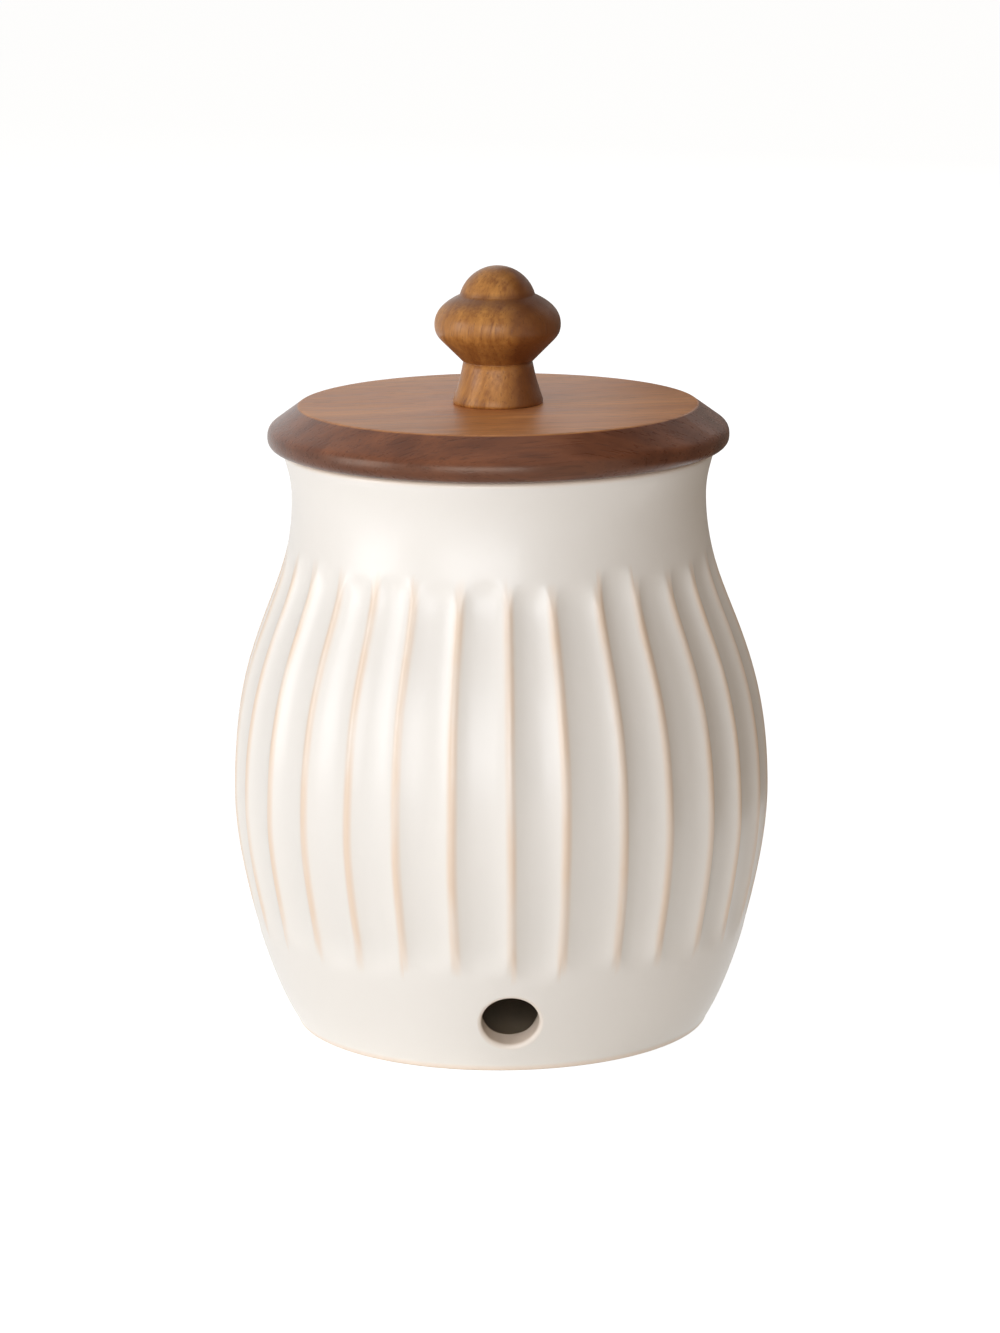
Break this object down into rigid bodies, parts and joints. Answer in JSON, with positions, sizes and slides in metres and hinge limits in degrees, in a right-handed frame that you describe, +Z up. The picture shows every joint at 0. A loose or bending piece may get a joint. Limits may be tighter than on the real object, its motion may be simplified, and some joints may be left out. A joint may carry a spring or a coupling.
{
  "type": "garlic keeper",
  "caption": "Fluted round stoneware jar with a vent hole near its foot and a lift-off wooden lid with a turned knob and a sealed plug.",
  "frame": {"origin": "centre of the ring that the jar stands on", "axes": "+Z up along the jar's axis, -Y towards the vent hole"},
  "size_m": [0.1292, 0.13, 0.1843],
  "materials": {
    "glazed_stoneware": "glossy cream glaze that breaks to a warm peach on the ridges",
    "lid_wood": "turned and oiled",
    "knob_wood": "turned and oiled",
    "silicone": "moulded, milky",
    "screw_steel": "zinc plated"
  },
  "bodies": {
    "jar": {"jar": "glazed_stoneware"},
    "seal": {"lid_seal": "silicone"},
    "lid": {"lid_board": "lid_wood", "lid_plug": "lid_wood", "knob": "knob_wood", "knob_screw": "screw_steel", "screw_washer": "screw_steel"}
  },
  "joints": [
    {"name": "lid_lift", "type": "slide", "parent": "jar", "child": "seal", "axis": [0, 0, 1], "range_m": [0, 0.12]},
    {"name": "lid_turn", "type": "hinge", "parent": "seal", "child": "lid", "pos_m": [0, 0, 0.137], "axis": [0, 0, 1], "continuous": true}
  ]
}
